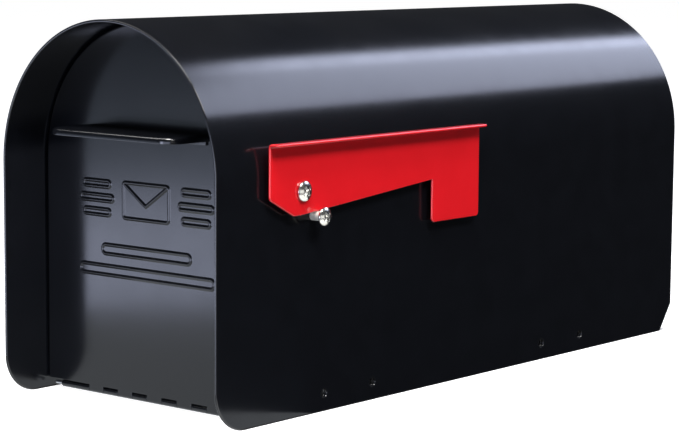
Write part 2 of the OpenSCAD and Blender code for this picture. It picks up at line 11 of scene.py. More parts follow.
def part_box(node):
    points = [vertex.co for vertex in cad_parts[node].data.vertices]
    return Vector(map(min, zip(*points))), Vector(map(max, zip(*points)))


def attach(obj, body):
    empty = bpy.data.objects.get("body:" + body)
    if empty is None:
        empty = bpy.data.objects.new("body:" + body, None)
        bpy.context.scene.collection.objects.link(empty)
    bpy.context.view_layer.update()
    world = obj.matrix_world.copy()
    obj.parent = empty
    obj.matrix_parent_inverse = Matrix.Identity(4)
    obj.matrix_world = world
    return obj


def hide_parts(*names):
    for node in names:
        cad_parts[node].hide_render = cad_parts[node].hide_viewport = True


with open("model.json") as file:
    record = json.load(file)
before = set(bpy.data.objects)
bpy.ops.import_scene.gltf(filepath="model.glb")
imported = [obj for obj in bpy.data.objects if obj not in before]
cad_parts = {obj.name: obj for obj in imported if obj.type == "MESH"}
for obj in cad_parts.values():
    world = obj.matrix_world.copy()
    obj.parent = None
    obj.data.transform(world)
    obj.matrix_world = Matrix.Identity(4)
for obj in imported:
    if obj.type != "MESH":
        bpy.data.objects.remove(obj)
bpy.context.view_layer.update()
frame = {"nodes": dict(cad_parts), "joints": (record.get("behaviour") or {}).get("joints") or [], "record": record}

MM = 0.001
MICRON = 0.001 * MM
NODES = frame["nodes"]


# ---------------------------------------------------------------- places, from the frame

shell_low, shell_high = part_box("shell")
foot_z = shell_low.z
arch_r = shell_high.x
arch_z = shell_high.z - arch_r
wall_h = arch_z - foot_z
door_low, door_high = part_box("door_panel")
handle_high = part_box("door_handle")[1]
joint_at = {j["name"]: Vector(j["pos_m"]) for j in frame["joints"]}
mount_at = {m["name"]: Vector(m["pos_m"]) for m in frame["record"]["mounts"]}
mount_dims = {m["name"]: m.get("dims") or {} for m in frame["record"]["mounts"]}
slot_of = {s["node"]: s["material_slot"] for s in frame["record"]["subparts"]}
body_of = {n: body for body, members in frame["record"]["behaviour"]["bodies"].items() for n in members}


def middle(node):
    """The centre of a CAD node's box."""
    low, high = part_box(node)
    return (low + high) / 2


# ---------------------------------------------------------------- camera, light and floor

CAMERA_AT = (1.1079, -1.3524, 0.3086)
CAMERA_TURN = 40.01
CAMERA_RISE = 7.16
CAMERA_ROLL = 0.42
LENS = 120.7
SENSOR_W = 36


def make_camera():
    """The camera looks down a little on the door end and the flag side. Its angles are in degrees."""
    turn, rise, roll = (math.radians(a) for a in (CAMERA_TURN, CAMERA_RISE, CAMERA_ROLL))
    back = Vector((math.sin(turn) * math.cos(rise), -math.cos(turn) * math.cos(rise), math.sin(rise)))
    level = (-back).cross(Vector((0, 0, 1))).normalized()
    above = level.cross(-back)
    right = math.cos(roll) * level + math.sin(roll) * above
    up = math.cos(roll) * above - math.sin(roll) * level
    data = bpy.data.cameras.new("camera")
    data.lens = LENS
    data.sensor_width = SENSOR_W
    camera = bpy.data.objects.new("camera", data)
    bpy.context.scene.collection.objects.link(camera)
    facing = Matrix((right, up, back)).transposed().to_4x4()
    camera.matrix_world = Matrix.Translation(CAMERA_AT) @ facing
    bpy.context.scene.camera = camera


def area_light(name, at, size, radiance, tint):
    """A rectangular soft light of an even radiance."""
    data = bpy.data.lights.new(name, "AREA")
    data.shape = "RECTANGLE"
    data.size, data.size_y = size
    data.energy = 4 * radiance * size[0] * size[1]
    data.color = tint
    light = bpy.data.objects.new(name, data)
    bpy.context.scene.collection.objects.link(light)
    light.location = at
    light.visible_camera = False
    return light


def softbox(name, at, towards, size, radiance, tint):
    """A soft light aimed at a point, its width level."""
    light = area_light(name, at, size, radiance, tint)
    light.rotation_euler = (Vector(towards) - Vector(at)).to_track_quat("-Z", "Y").to_euler()


def level_panel(name, at, size, radiance, tint, turn=0, faces_up=False):
    """A soft light that lies level, turned about Z by an angle in degrees."""
    light = area_light(name, at, size, radiance, tint)
    light.rotation_euler = (math.pi if faces_up else 0, 0, math.radians(turn))


WARM = (1, 0.985, 0.96)
COOL = (0.71, 0.77, 1.0)
SKY = (0.68, 0.8, 1)
PALE = (0.9, 0.95, 1)
DOOR_END = Vector((0, shell_low.y))
BOUNCE_TURN = 40
AT_MIDDLE = (0, 0, 0.15)
AT_DOOR = (0, -0.24, 0.05)
AT_FLAG = (0.1, -0.1, 0.12)
AT_PIVOT = (0.1, -0.2, 0.12)
AT_STOP = (0.1, -0.2, 0.1)


def door_bounce(name, near, far, width, radiance, tint):
    """A bright strip of floor ahead of the door, between two distances along the view's mirrored line."""
    turn = math.radians(BOUNCE_TURN)
    away = Vector((-math.sin(turn), -math.cos(turn)))
    at = DOOR_END + away * (near + far) / 2
    place = (at.x, at.y, foot_z + MM)
    level_panel(name, place, (width, far - near), radiance, tint, turn=-BOUNCE_TURN, faces_up=True)


def make_lights():
    """Soft studio lights. Each is a place, what it faces or its size, how bright it is and its tint."""
    # over the tail and the door end, for the bands along the arch and the rounded edges
    level_panel("rear_band", (0.80, 2.25, 1.55), (1.50, 2.1), radiance=3.7, tint=COOL, turn=3)
    level_panel("rear_band_crest", (0.15, 1.95, 1.54), (0.34, 1.6), radiance=2, tint=COOL, turn=3)
    level_panel("front_top", (-0.50, -0.85, 1.9), (2.7, 0.5), radiance=7, tint=WARM)
    level_panel("front_top_near", (0.48, -0.85, 1.88), (0.75, 0.4), radiance=34, tint=WARM)
    # low in front, on the door's face
    softbox("front_low", (-0.20, -2.5, -0.05), AT_DOOR, (0.8, 0.9), radiance=4.5, tint=COOL)
    softbox("front_wide", (0.80, -2.6, -0.05), AT_DOOR, (3.0, 0.8), radiance=2.6, tint=COOL)
    door_bounce("door_bounce_near", -0.14, 0.36, width=0.5, radiance=0.75, tint=PALE)
    door_bounce("door_bounce", 0.38, 1.25, width=0.7, radiance=3.6, tint=COOL)
    door_bounce("door_bounce_mid", 1.27, 2.5, width=1.0, radiance=0.75, tint=SKY)
    door_bounce("door_bounce_far", 2.52, 6.0, width=1.6, radiance=0.4, tint=SKY)
    # on the flag and its screws
    softbox("flag_side", (1.40, -0.35, 1.70), AT_FLAG, (1.0, 0.6), radiance=19.5, tint=WARM)
    softbox("screw_side", (1.35, -0.95, 0.35), AT_PIVOT, (0.3, 0.5), radiance=1, tint=WARM)
    softbox("screw_level", (2.2, -0.2, 0.0), AT_STOP, (1.2, 0.8), radiance=0.9, tint=WARM)
    level_panel("screw_under", (1.2, 0.1, -0.6), (1.6, 1.6), radiance=1.2, tint=WARM, faces_up=True)
    # a little on the far side
    softbox("left_fill", (-2.2, 0.35, 1.0), AT_MIDDLE, (1.4, 1.6), radiance=0.4, tint=COOL)


def make_world():
    """White to the camera and dim to everything else."""
    world = bpy.data.worlds.new("studio")
    bpy.context.scene.world = world
    world.use_nodes = True
    tree = world.node_tree
    tree.nodes.clear()
    seen = add_node(tree, "ShaderNodeBackground", {"Color": (1, 1, 1, 1), "Strength": 1.0})
    felt = add_node(tree, "ShaderNodeBackground", {"Color": (0.85, 0.9, 1, 1), "Strength": 0.03})
    to_camera = add_node(tree, "ShaderNodeLightPath").outputs["Is Camera Ray"]
    mix = add_node(tree, "ShaderNodeMixShader", {0: to_camera, 1: felt.outputs[0], 2: seen.outputs[0]})
    add_node(tree, "ShaderNodeOutputWorld", {"Surface": mix.outputs[0]})


FLOOR_HALF = 30
SHADE = {"side_inset": 2 * MM, "middle_y": 28 * MM, "end_inset": 32 * MM}
FLOOR_GLOW = 0.98


def make_floor():
    """A plain pale floor, which doesn't show in the gloss of the paint, and is dark under the box."""
    mesh = bpy.data.meshes.new("floor")
    ways = ((-1, -1), (1, -1), (1, 1), (-1, 1))
    corners = [(x * FLOOR_HALF, y * FLOOR_HALF, foot_z) for x, y in ways]
    mesh.from_pydata(corners, [], [(0, 1, 2, 3)])
    floor = bpy.data.objects.new("floor", mesh)
    bpy.context.scene.collection.objects.link(floor)
    floor.visible_glossy = False
    material = bpy.data.materials.new("floor")
    material.use_nodes = True
    tree = material.node_tree
    tree.nodes.clear()
    place = add_node(tree, "ShaderNodeTexCoord").outputs["Object"]
    across = add_node(tree, "ShaderNodeSeparateXYZ", {0: place}).outputs
    aside = maths(tree, "ABSOLUTE", across["X"])
    past_side = maths(tree, "GREATER_THAN", aside, arch_r - SHADE["side_inset"])
    along = maths(tree, "ABSOLUTE", maths(tree, "SUBTRACT", across["Y"], SHADE["middle_y"]))
    past_end = maths(tree, "GREATER_THAN", along, shell_high.y - SHADE["end_inset"])
    clear = maths(tree, "MAXIMUM", past_side, past_end)
    seen = add_node(tree, "ShaderNodeBsdfDiffuse", {"Color": (0.45, 0.45, 0.46, 1)})
    felt = add_node(tree, "ShaderNodeBsdfDiffuse", {"Color": (0.09, 0.09, 0.093, 1)})
    strength = maths(tree, "MULTIPLY", clear, FLOOR_GLOW)
    glow = add_node(tree, "ShaderNodeEmission", {"Color": (1, 1, 1, 1), "Strength": strength})
    both = add_node(tree, "ShaderNodeAddShader", {0: seen.outputs[0], 1: glow.outputs[0]})
    to_camera = add_node(tree, "ShaderNodeLightPath").outputs["Is Camera Ray"]
    mix = add_node(tree, "ShaderNodeMixShader", {0: to_camera, 1: felt.outputs[0], 2: both.outputs[0]})
    add_node(tree, "ShaderNodeOutputMaterial", {"Surface": mix.outputs[0]})
    mesh.materials.append(material)


# ---------------------------------------------------------------- shader helpers

def add_node(tree, kind, inputs=None, **settings):
    """A node with its settings, and its inputs as values or as sockets to link."""
    made = tree.nodes.new(kind)
    for key, value in settings.items():
        setattr(made, key, value)
    for key, value in (inputs or {}).items():
        if isinstance(value, bpy.types.NodeSocket):
            tree.links.new(value, made.inputs[key])
        else:
            made.inputs[key].default_value = value
    return made


def maths(tree, operation, a, b=0.0):
    """The result of a Math node."""
    return add_node(tree, "ShaderNodeMath", {0: a, 1: b}, operation=operation).outputs[0]


def remap(tree, value, low, high, to_low=0.0, to_high=1.0):
    """Value from low..high to to_low..to_high, clamped."""
    made = add_node(
        tree,
        "ShaderNodeMapRange",
        {"Value": value, "From Min": low, "From Max": high, "To Min": to_low, "To Max": to_high},
    )
    return made.outputs["Result"]


def noise(tree, size, detail, stretch=None):
    """Noise in object space whose features are about size metres across."""
    place = add_node(tree, "ShaderNodeTexCoord").outputs["Object"]
    if stretch:
        place = add_node(tree, "ShaderNodeMapping", {"Vector": place, "Scale": stretch}).outputs[0]
    scale = maths(tree, "DIVIDE", 1.0, size)
    made = add_node(tree, "ShaderNodeTexNoise", {"Vector": place, "Scale": scale, "Detail": detail})
    return made.outputs["Fac"]


def mix_colour(tree, share, a, b):
    """Colour a with a share of colour b; each is a value or a socket."""
    made = add_node(tree, "ShaderNodeMix", data_type="RGBA")
    for socket, value in ((made.inputs[0], share), (made.inputs[6], a), (made.inputs[7], b)):
        if isinstance(value, bpy.types.NodeSocket):
            tree.links.new(value, socket)
        else:
            socket.default_value = value
    return made.outputs[2]


def new_group(name, inputs, outputs):
    """An empty shader group with float inputs, as {name: default}, and named outputs."""
    group = bpy.data.node_groups.new(name, "ShaderNodeTree")
    for key, default in inputs.items():
        socket = group.interface.new_socket(name=key, in_out="INPUT", socket_type="NodeSocketFloat")
        socket.default_value = default
    for key in outputs:
        group.interface.new_socket(name=key, in_out="OUTPUT", socket_type="NodeSocketFloat")
    source = group.nodes.new("NodeGroupInput")
    return group, source.outputs


def close_group(group, outputs):
    """Links the group's named outputs and gives the group back."""
    sink = group.nodes.new("NodeGroupOutput")
    for key, socket in outputs.items():
        group.links.new(socket, sink.inputs[key])
    return group


def make_paint_skin():
    """Orange peel and slow ripples of a sprayed or moulded skin, and its faint mottle."""
    sizes = {"Peel Size": 2 * MM, "Ripple Size": 50 * MM, "Ripple Share": 0.5}
    group, given = new_group("paint_skin", sizes, ["Height", "Mottle"])
    peel = noise(group, given["Peel Size"], 1.0)
    ripple = noise(group, given["Ripple Size"], 1.0)
    height = maths(group, "ADD", peel, maths(group, "MULTIPLY", ripple, given["Ripple Share"]))
    mottle_size = maths(group, "MULTIPLY", given["Ripple Size"], 0.35)
    mottle = noise(group, mottle_size, 4.0)
    return close_group(group, {"Height": height, "Mottle": mottle})


def make_edge_wear():
    """Where an edge is rubbed: strongest on tight edges, and broken up along them."""
    group, given = new_group("edge_wear", {"Width": 1.2 * MM, "Patch Size": 20 * MM}, ["Mask"])
    eased = add_node(group, "ShaderNodeBevel", {"Radius": given["Width"]}, samples=4).outputs[0]
    true = add_node(group, "ShaderNodeNewGeometry").outputs["Normal"]
    lean = add_node(group, "ShaderNodeVectorMath", {0: eased, 1: true}, operation="DOT_PRODUCT")
    edge = remap(group, lean.outputs["Value"], 0.995, 0.86)
    patches = remap(group, noise(group, given["Patch Size"], 5.0), 0.35, 0.65, 0.35, 1.0)
    return close_group(group, {"Mask": maths(group, "MULTIPLY", edge, patches)})


def make_dust():
    """Fine dust on what faces up, in specks and soft patches."""
    sizes = {"Speck Size": 1.5 * MM, "Patch Size": 50 * MM, "Amount": 0.5}
    group, given = new_group("dust", sizes, ["Mask"])
    normal = add_node(group, "ShaderNodeTexCoord").outputs["Normal"]
    up = add_node(group, "ShaderNodeSeparateXYZ", {0: normal}).outputs["Z"]
    facing = remap(group, up, 0.1, 0.95)
    patch = remap(group, noise(group, given["Patch Size"], 3.0), 0.35, 0.75, 0.15, 1.0)
    speck = remap(group, noise(group, given["Speck Size"], 1.0), 0.62, 0.78, 0.35, 1.0)
    mask = maths(group, "MULTIPLY", maths(group, "MULTIPLY", facing, patch), speck)
    return close_group(group, {"Mask": maths(group, "MULTIPLY", mask, given["Amount"])})


def make_painted_recess_shade():
    """Painted shade: a mask of recesses and inner corners, found by ambient occlusion and broken into patches."""
    group, given = new_group("painted_recess_shade", {"Reach": 1.5 * MM, "Patch Size": 4 * MM}, ["Mask"])
    open_air = add_node(group, "ShaderNodeAmbientOcclusion", {"Distance": given["Reach"]}, samples=6)
    corner = remap(group, open_air.outputs["AO"], 0.72, 0.35)
    patches = remap(group, noise(group, given["Patch Size"], 4.0), 0.3, 0.6, 0.55, 1.0)
    return close_group(group, {"Mask": maths(group, "MULTIPLY", corner, patches)})


def make_tool_marks():
    """Fine scratches along Y and along X, as drawn or turned metal has."""
    group, given = new_group("tool_marks", {"Size": 0.4 * MM}, ["Height", "Mask"])
    fine = noise(group, given["Size"], 3.0, stretch=(1, 0.08, 1))
    cross = noise(group, maths(group, "MULTIPLY", given["Size"], 3.0), 3.0, stretch=(0.15, 1, 1))
    both = maths(group, "ADD", fine, maths(group, "MULTIPLY", cross, 0.5))
    return close_group(group, {"Height": both, "Mask": remap(group, both, 0.5, 1.0)})


def use_group(tree, name, **values):
    """Places a group in a material; peel_size=... sets its input Peel Size."""
    made = tree.nodes.new("ShaderNodeGroup")
    made.node_tree = bpy.data.node_groups[name]
    for key, value in values.items():
        made.inputs[key.replace("_", " ").title()].default_value = value
    return made.outputs


def new_material(name, **constants):
    """A material with a Principled BSDF whose constant numbers are on its own sockets."""
    material = bpy.data.materials.new(name)
    material.use_nodes = True
    tree = material.node_tree
    tree.nodes.clear()
    shader = add_node(tree, "ShaderNodeBsdfPrincipled")
    for key, value in constants.items():
        shader.inputs[key.replace("_", " ")].default_value = value
    add_node(tree, "ShaderNodeOutputMaterial", {"Surface": shader.outputs[0]})
    return material, tree, shader


def bump(tree, shader, height, depth):
    """Feeds the shader's normal from a height, depth metres at full height."""
    made = add_node(tree, "ShaderNodeBump", {"Height": height, "Distance": depth, "Strength": 1.0})
    tree.links.new(made.outputs[0], shader.inputs["Normal"])


DUST_COLOUR = (0.42, 0.41, 0.38, 1)
# The near-black of the painted shade in the metals' recesses.
RECESS_SHADE_COLOUR = (0.03, 0.028, 0.025, 1)
RUBBED_METAL = (0.9, 0.9, 0.9, 1)


def powder_coat(name, colour, deep, worn, roughness):
    """Semi-gloss powder coat: faint orange peel, thinner colour on its edges, a little dust."""
    material, tree, shader = new_material(name, IOR=1.5)
    skin = use_group(tree, "paint_skin", peel_size=1.6 * MM, ripple_size=60 * MM, ripple_share=6.0)
    edge = use_group(tree, "edge_wear", width=1.4 * MM, patch_size=30 * MM)["Mask"]
    dust = use_group(tree, "dust", speck_size=1.2 * MM, patch_size=70 * MM, amount=0.35)["Mask"]
    mottle = remap(tree, skin["Mottle"], 0.35, 0.65)
    paint = mix_colour(tree, mottle, colour, deep)
    paint = mix_colour(tree, maths(tree, "MULTIPLY", edge, 0.55), paint, worn)
    paint = mix_colour(tree, maths(tree, "MULTIPLY", dust, 0.03), paint, DUST_COLOUR)
    tree.links.new(paint, shader.inputs["Base Color"])
    rough = maths(tree, "ADD", roughness, maths(tree, "MULTIPLY", mottle, 0.025))
    rough = maths(tree, "ADD", rough, maths(tree, "MULTIPLY", dust, 0.12))
    rough = maths(tree, "SUBTRACT", rough, maths(tree, "MULTIPLY", edge, 0.06))
    tree.links.new(rough, shader.inputs["Roughness"])
    bump(tree, shader, skin["Height"], 6 * MICRON)
    return material


def metal(name, colour, deep, roughness, mark_size, depth):
    """Plated or polished steel with fine tool marks, a little tarnish, and painted shade in its recesses."""
    material, tree, shader = new_material(name, Metallic=1.0)
    marks = use_group(tree, "tool_marks", size=mark_size)
    edge = use_group(tree, "edge_wear", width=0.5 * MM, patch_size=4 * MM)["Mask"]
    stain = remap(tree, noise(tree, 6 * MM, 4.0), 0.4, 0.7)
    base = mix_colour(tree, stain, colour, deep)
    base = mix_colour(tree, maths(tree, "MULTIPLY", edge, 0.5), base, RUBBED_METAL)
    # Painted shade: recesses and inner corners are darkened to near black, and made rougher.
    recess_shade = use_group(tree, "painted_recess_shade", reach=1.6 * MM, patch_size=2 * MM)["Mask"]
    base = mix_colour(tree, maths(tree, "MULTIPLY", recess_shade, 0.92), base, RECESS_SHADE_COLOUR)
    tree.links.new(base, shader.inputs["Base Color"])
    rough = maths(tree, "ADD", roughness, maths(tree, "MULTIPLY", marks["Mask"], 0.12))
    rough = maths(tree, "ADD", rough, maths(tree, "MULTIPLY", recess_shade, 0.3))
    rough = maths(tree, "ADD", rough, maths(tree, "MULTIPLY", stain, 0.08))
    tree.links.new(rough, shader.inputs["Roughness"])
    bump(tree, shader, marks["Height"], depth)
    return material


def moulded(name, colour, deep, roughness, grain, depth):
    """Moulded plastic, rubber or sintered magnet: a fine grain, mottle and worn edges."""
    material, tree, shader = new_material(name)
    skin = use_group(tree, "paint_skin", peel_size=grain, ripple_size=12 * MM, ripple_share=1.0)
    edge = use_group(tree, "edge_wear", width=0.5 * MM, patch_size=6 * MM)["Mask"]
    dust = use_group(tree, "dust", speck_size=0.8 * MM, patch_size=10 * MM, amount=0.5)["Mask"]
    mottle = remap(tree, skin["Mottle"], 0.35, 0.65)
    base = mix_colour(tree, mottle, colour, deep)
    paler = tuple(min(1, c * 2.2 + 0.03) for c in colour[:3]) + (1,)
    base = mix_colour(tree, maths(tree, "MULTIPLY", edge, 0.25), base, paler)
    base = mix_colour(tree, maths(tree, "MULTIPLY", dust, 0.12), base, DUST_COLOUR)
    tree.links.new(base, shader.inputs["Base Color"])
    rough = maths(tree, "ADD", roughness, maths(tree, "MULTIPLY", mottle, 0.08))
    tree.links.new(rough, shader.inputs["Roughness"])
    bump(tree, shader, skin["Height"], depth)
    return material


def black_coat():
    """The box's and the door's powder coat."""
    colour = (0.0036, 0.0041, 0.0058, 1)
    deep = (0.0028, 0.0032, 0.0046, 1)
    worn = (0.03, 0.032, 0.036, 1)
    return powder_coat("black_powder_coat", colour, deep, worn, roughness=0.16)


def red_coat():
    """The flag's powder coat, with a gloss layer."""
    colour = (0.71, 0.0085, 0.0145, 1)
    deep = (0.685, 0.0075, 0.013, 1)
    worn = (0.80, 0.05, 0.06, 1)
    material = powder_coat("red_powder_coat", colour, deep, worn, roughness=0.20)
    shader = material.node_tree.nodes["Principled BSDF"]
    shader.inputs["Coat Weight"].default_value = 0.7
    shader.inputs["Coat Roughness"].default_value = 0.12
    return material


METALS = {
    "zinc_steel": {
        "colour": (0.56, 0.57, 0.59, 1), "deep": (0.44, 0.45, 0.47, 1),
        "roughness": 0.28, "mark_size": 0.6 * MM, "depth": 4 * MICRON,
    },
    "bright_steel": {
        "colour": (0.74, 0.74, 0.71, 1), "deep": (0.62, 0.62, 0.58, 1),
        "roughness": 0.12, "mark_size": 0.4 * MM, "depth": 2 * MICRON,
    },
}
MOULDED = {
    "black_plastic": {
        "colour": (0.022, 0.022, 0.024, 1), "deep": (0.016, 0.016, 0.018, 1),
        "roughness": 0.5, "grain": 0.5 * MM, "depth": 10 * MICRON,
    },
    "ferrite": {
        "colour": (0.07, 0.07, 0.075, 1), "deep": (0.05, 0.05, 0.052, 1),
        "roughness": 0.62, "grain": 0.3 * MM, "depth": 10 * MICRON,
    },
    "black_rubber": {
        "colour": (0.016, 0.016, 0.017, 1), "deep": (0.012, 0.012, 0.012, 1),
        "roughness": 0.68, "grain": 0.4 * MM, "depth": 10 * MICRON,
    },
    "white_nylon": {
        "colour": (0.74, 0.72, 0.66, 1), "deep": (0.68, 0.66, 0.6, 1),
        "roughness": 0.42, "grain": 0.6 * MM, "depth": 5 * MICRON,
    },
}


def make_materials():
    """Every finish, by the name of its material slot."""
    for make_group in (make_paint_skin, make_edge_wear, make_dust, make_painted_recess_shade, make_tool_marks):
        make_group()
    made = {"black_powder_coat": black_coat(), "red_powder_coat": red_coat()}
    for slot, finish in METALS.items():
        made[slot] = metal(slot, **finish)
    for slot, finish in MOULDED.items():
        made[slot] = moulded(slot, **finish)
    return made


# ---------------------------------------------------------------- mesh helpers

MERGE = 0.001 * MM
FLAT_ANGLE = 0.5
SHARP_ANGLE = 35
SHADING_WEIGHT = 80
BEND_SEGMENTS = 6


def add_piece(name, bm, node):
    """A finished piece that stands for a CAD node, on its body and in its material slot."""
    mesh = bpy.data.meshes.new(name)
    bmesh.ops.recalc_face_normals(bm, faces=bm.faces)
    bm.to_mesh(mesh)
    bm.free()
    mesh.polygons.foreach_set("use_smooth", [True] * len(mesh.polygons))
    piece = bpy.data.objects.new(name, mesh)
    bpy.context.scene.collection.objects.link(piece)
    slot = slot_of[node]
    mesh.materials.append(materials[slot])
    even = piece.modifiers.new("even_shading", "WEIGHTED_NORMAL")
    even.weight = SHADING_WEIGHT
    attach(piece, body_of[node])
    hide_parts(node)


def join_flats(bm, reach):
    """Merges points that lie within reach, and makes whole faces of flat groups of triangles."""
    bmesh.ops.remove_doubles(bm, verts=bm.verts, dist=reach)
    bmesh.ops.dissolve_limit(bm, angle_limit=math.radians(FLAT_ANGLE), verts=bm.verts, edges=bm.edges)


def clean_copy(node):
    """A CAD node's mesh with whole flat faces in place of their triangles."""
    bm = bmesh.new()
    bm.from_mesh(NODES[node].data)
    join_flats(bm, MERGE)
    return bm


def round_edges(bm, edges, radius, segments):
    """Rounds edges over to a radius."""
    bmesh.ops.bevel(
        bm,
        geom=edges,
        offset=radius,
        offset_type="OFFSET",
        segments=segments,
        profile=0.5,
        affect="EDGES",
        clamp_overlap=False,
    )


def sharp_edges(bm):
    """Edges between two faces that turn by more than the sharp angle."""
    limit = math.radians(SHARP_ANGLE)
    return [e for e in bm.edges if len(e.link_faces) == 2 and e.calc_face_angle() > limit]


def bend_edges(bm, bend, radius):
    """Rounds over the sharp edges that bend(edge) picks, as a press brake leaves them."""
    round_edges(bm, [e for e in sharp_edges(bm) if bend(e)], radius, BEND_SEGMENTS)


def eased_piece(node, edge_r, segments):
    """A CAD node with all its sharp edges eased."""
    bm = clean_copy(node)
    round_edges(bm, sharp_edges(bm), edge_r, segments)
    add_piece(node + "_piece", bm, node)


# ---------------------------------------------------------------- shell

SHEET = 2 * MM
RIM_R = 0.8 * MM
RIM_STEPS = 4
ARCH_STEPS = 96
NOSE_R = 29 * MM
NOSE_STEPS = 16
# The tail's lower corners are cut off, from the feet up to the floor's underside
TAIL_CUT = 16 * MM
TAIL_CUT_RISE = -foot_z
HOLE_STEPS = 32
SCREW_BORES = {"flag_pivot_screw": 3.15 * MM, "stop_screw": 2.65 * MM}


def arc_points(centre, radius, start, end, steps):
    """Points along an arc, its angles in degrees."""
    angles = (math.radians(start + (end - start) * i / steps) for i in range(steps + 1))
    return [(centre[0] + radius * math.cos(a), centre[1] + radius * math.sin(a)) for a in angles]


def rim_rings(sheet, radius):
    """The edge of a sheet as (inset, depth) pairs, from its outer face round to its inner face."""
    turn = [math.radians(90 * i / RIM_STEPS) for i in range(RIM_STEPS + 1)]
    outer = [(radius * (1 - math.sin(a)), radius * (1 - math.cos(a))) for a in turn]
    return outer + [(inset, sheet - depth) for inset, depth in reversed(outer)]


def inset_loop(points, amount):
    """A closed loop moved inwards, to its left, by amount at each point."""
    moved = []
    count = len(points)
    for i, p in enumerate(points):
        here = Vector(p)
        coming = (here - Vector(points[i - 1])).normalized()
        going = (Vector(points[(i + 1) % count]) - here).normalized()
        across = Vector((-coming.y - going.y, coming.x + going.x)).normalized()
        share = across.dot(Vector((-coming.y, coming.x)))
        moved.append(here + across * amount / max(0.5, share))
    return moved


def shell_outline():
    """The unrolled sheet's four edges as (s, y) points, and its span.

    s runs over the arch from the left foot to the right foot, and y from the front to the tail.
    """
    front, tail = shell_low.y, shell_high.y
    span = 2 * wall_h + math.pi * arch_r
    nose_y = front + NOSE_R
    arch_s = [wall_h + math.pi * arch_r * i / ARCH_STEPS for i in range(ARCH_STEPS + 1)]
    front_rim = [(s, front) for s in arch_s]
    right_wall = arc_points((span - NOSE_R, nose_y), NOSE_R, -90, 0, NOSE_STEPS)
    right_wall += [(span, tail - TAIL_CUT), (span - TAIL_CUT_RISE, tail)]
    tail_rim = [(s, tail) for s in reversed(arch_s)]
    left_wall = [(TAIL_CUT_RISE, tail), (0, tail - TAIL_CUT)]
    left_wall += arc_points((NOSE_R, nose_y), NOSE_R, 180, 270, NOSE_STEPS)
    return [front_rim, right_wall, tail_rim, left_wall], span


def shell_holes(span):
    """Holes of the unrolled sheet as (s, y, radius)."""
    holes = []
    for name, at in mount_at.items():
        if not name.endswith(("_front", "_rear")):
            continue
        dims = mount_dims[name]
        rise = at.z - foot_z
        s = span - rise if at.x > 0 else rise
        for side in (-0.5, 0.5):
            holes.append((s, at.y + side * dims["spacing_x_mm"] * MM, dims["hole_r_mm"] * MM))
    for node, radius in SCREW_BORES.items():
        at = middle(node)
        holes.append((span - (at.z - foot_z), at.y, radius))
    return holes


def roll_up(s, y, depth):
    """A point of the unrolled sheet, rolled over the arch."""
    radius = arch_r - depth
    if s < wall_h:
        return Vector((-radius, y, foot_z + s))
    angle = (s - wall_h) / arch_r
    if angle > math.pi:
        return Vector((radius, y, arch_z - (s - wall_h - math.pi * arch_r)))
    return Vector((-radius * math.cos(angle), y, arch_z + radius * math.sin(angle)))


def ring_pairs(items):
    """Each item of a closed ring with the next one."""
    return zip(items, items[1:] + items[:1])


def join_rings(bm, rows):
    """Faces between each closed ring of points and the next."""
    for a, b in zip(rows, rows[1:]):
        for (p, q), (r, t) in zip(ring_pairs(a), ring_pairs(b)):
            bm.faces.new((p, q, t, r))


def hole_rings(bm, s, y, radius, rings):
    """The eased edge of a hole through the sheet, from the outer face to the inner face."""
    rows = []
    for inset, depth in rings:
        points = arc_points((s, y), radius + min(inset, radius / 8), 0, 360, HOLE_STEPS)[:-1]
        rows.append([bm.verts.new((*p, depth)) for p in points])
    return rows


def fill_wall(bm, wall, openings):
    """Fills one flat wall between its outline and the rings of its holes."""
    edges = []
    for ring in [wall] + openings:
        edges += [bm.edges.get(pair) or bm.edges.new(pair) for pair in ring_pairs(ring)]
    bmesh.ops.triangle_fill(bm, edges=edges, use_beauty=True, use_dissolve=False)


def make_shell():
    """The rolled sheet: made flat as points (s, y, depth), then rolled over the arch."""
    stretches, span = shell_outline()
    loop = [p for stretch in stretches for p in stretch]
    rings = rim_rings(SHEET, RIM_R)
    bm = bmesh.new()
    outer = [[bm.verts.new((*p, depth)) for p in inset_loop(loop, inset)] for inset, depth in rings]
    holes = [(hole[0], hole_rings(bm, *hole, rings)) for hole in shell_holes(span)]
    for rows in [outer] + [rows for _, rows in holes]:
        join_rings(bm, rows)
    right_start = len(stretches[0])
    tail_start = right_start + len(stretches[1])
    left_start = tail_start + len(stretches[2])
    for face in (0, -1):
        ring = outer[face]
        front_rim = ring[:right_start]
        tail_rim = ring[tail_start:left_start][::-1]
        for i in range(ARCH_STEPS):
            bm.faces.new((front_rim[i], front_rim[i + 1], tail_rim[i + 1], tail_rim[i]))
        right_wall = ring[right_start - 1:tail_start + 1]
        left_wall = ring[left_start - 1:] + ring[:1]
        fill_wall(bm, right_wall, [rows[face] for s, rows in holes if s > span / 2])
        fill_wall(bm, left_wall, [rows[face] for s, rows in holes if s <= span / 2])
    for v in bm.verts:
        v.co = roll_up(*v.co)
    add_piece("shell_sheet", bm, "shell")


# ---------------------------------------------------------------- door, handle and flag

def on_plane(axis, place, reach=0.3 * MM):
    """Tells whether an edge lies at that place along an axis."""
    return lambda e: all(abs(v.co[axis] - place) < reach for v in e.verts)


